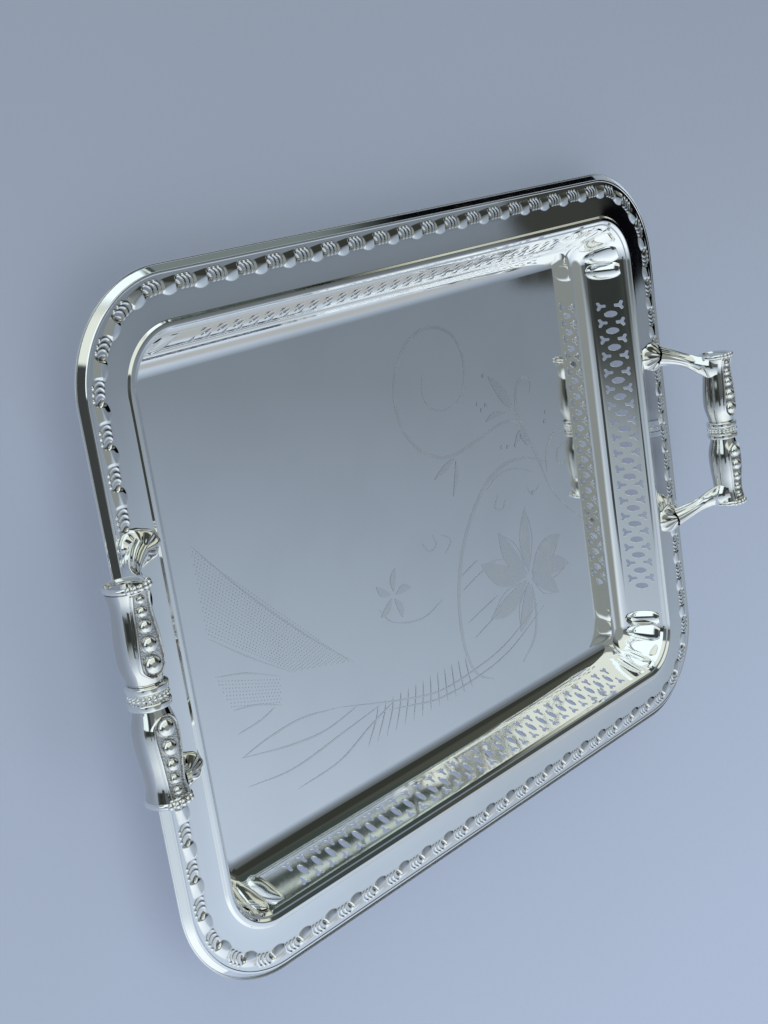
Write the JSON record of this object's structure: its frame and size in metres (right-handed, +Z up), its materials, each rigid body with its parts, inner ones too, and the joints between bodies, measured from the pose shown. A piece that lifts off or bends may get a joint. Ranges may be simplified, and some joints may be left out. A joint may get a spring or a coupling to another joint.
{
  "type": "two-handled gallery tray",
  "caption": "Rectangular silver-plated serving tray with a deep well, pierced wall, embossed rim border and raised baluster handles at both ends.",
  "frame": {"origin": "centre of the flat underside of the well, which is the middle of the bottom of the bounding box", "axes": "+X from handle to handle, +Y across the tray towards its rear long side, +Z up out of the well"},
  "size_m": [0.4654, 0.3244, 0.0649],
  "materials": {
    "sheet_silver": "bright polished silver plate on pressed sheet, faintly scratched, with darker tarnish in the relief",
    "cast_silver": "polished silver plate on castings, darker in the stippled grounds and grooves",
    "fixing": "plain nickel-plated steel, lightly dulled"
  },
  "bodies": {
    "root": {"tray_body": "sheet_silver", "right_collar": "cast_silver", "right_tie_rod": "fixing", "right_grip_rear": "cast_silver", "right_cap_rear": "cast_silver", "right_arm_rear": "cast_silver", "right_screw_rear": "fixing", "right_washer_rear": "fixing", "right_grip_front": "cast_silver", "right_cap_front": "cast_silver", "right_arm_front": "cast_silver", "right_screw_front": "fixing", "right_washer_front": "fixing", "left_collar": "cast_silver", "left_tie_rod": "fixing", "left_grip_rear": "cast_silver", "left_cap_rear": "cast_silver", "left_arm_rear": "cast_silver", "left_screw_rear": "fixing", "left_washer_rear": "fixing", "left_grip_front": "cast_silver", "left_cap_front": "cast_silver", "left_arm_front": "cast_silver", "left_screw_front": "fixing", "left_washer_front": "fixing"}
  },
  "joints": []
}
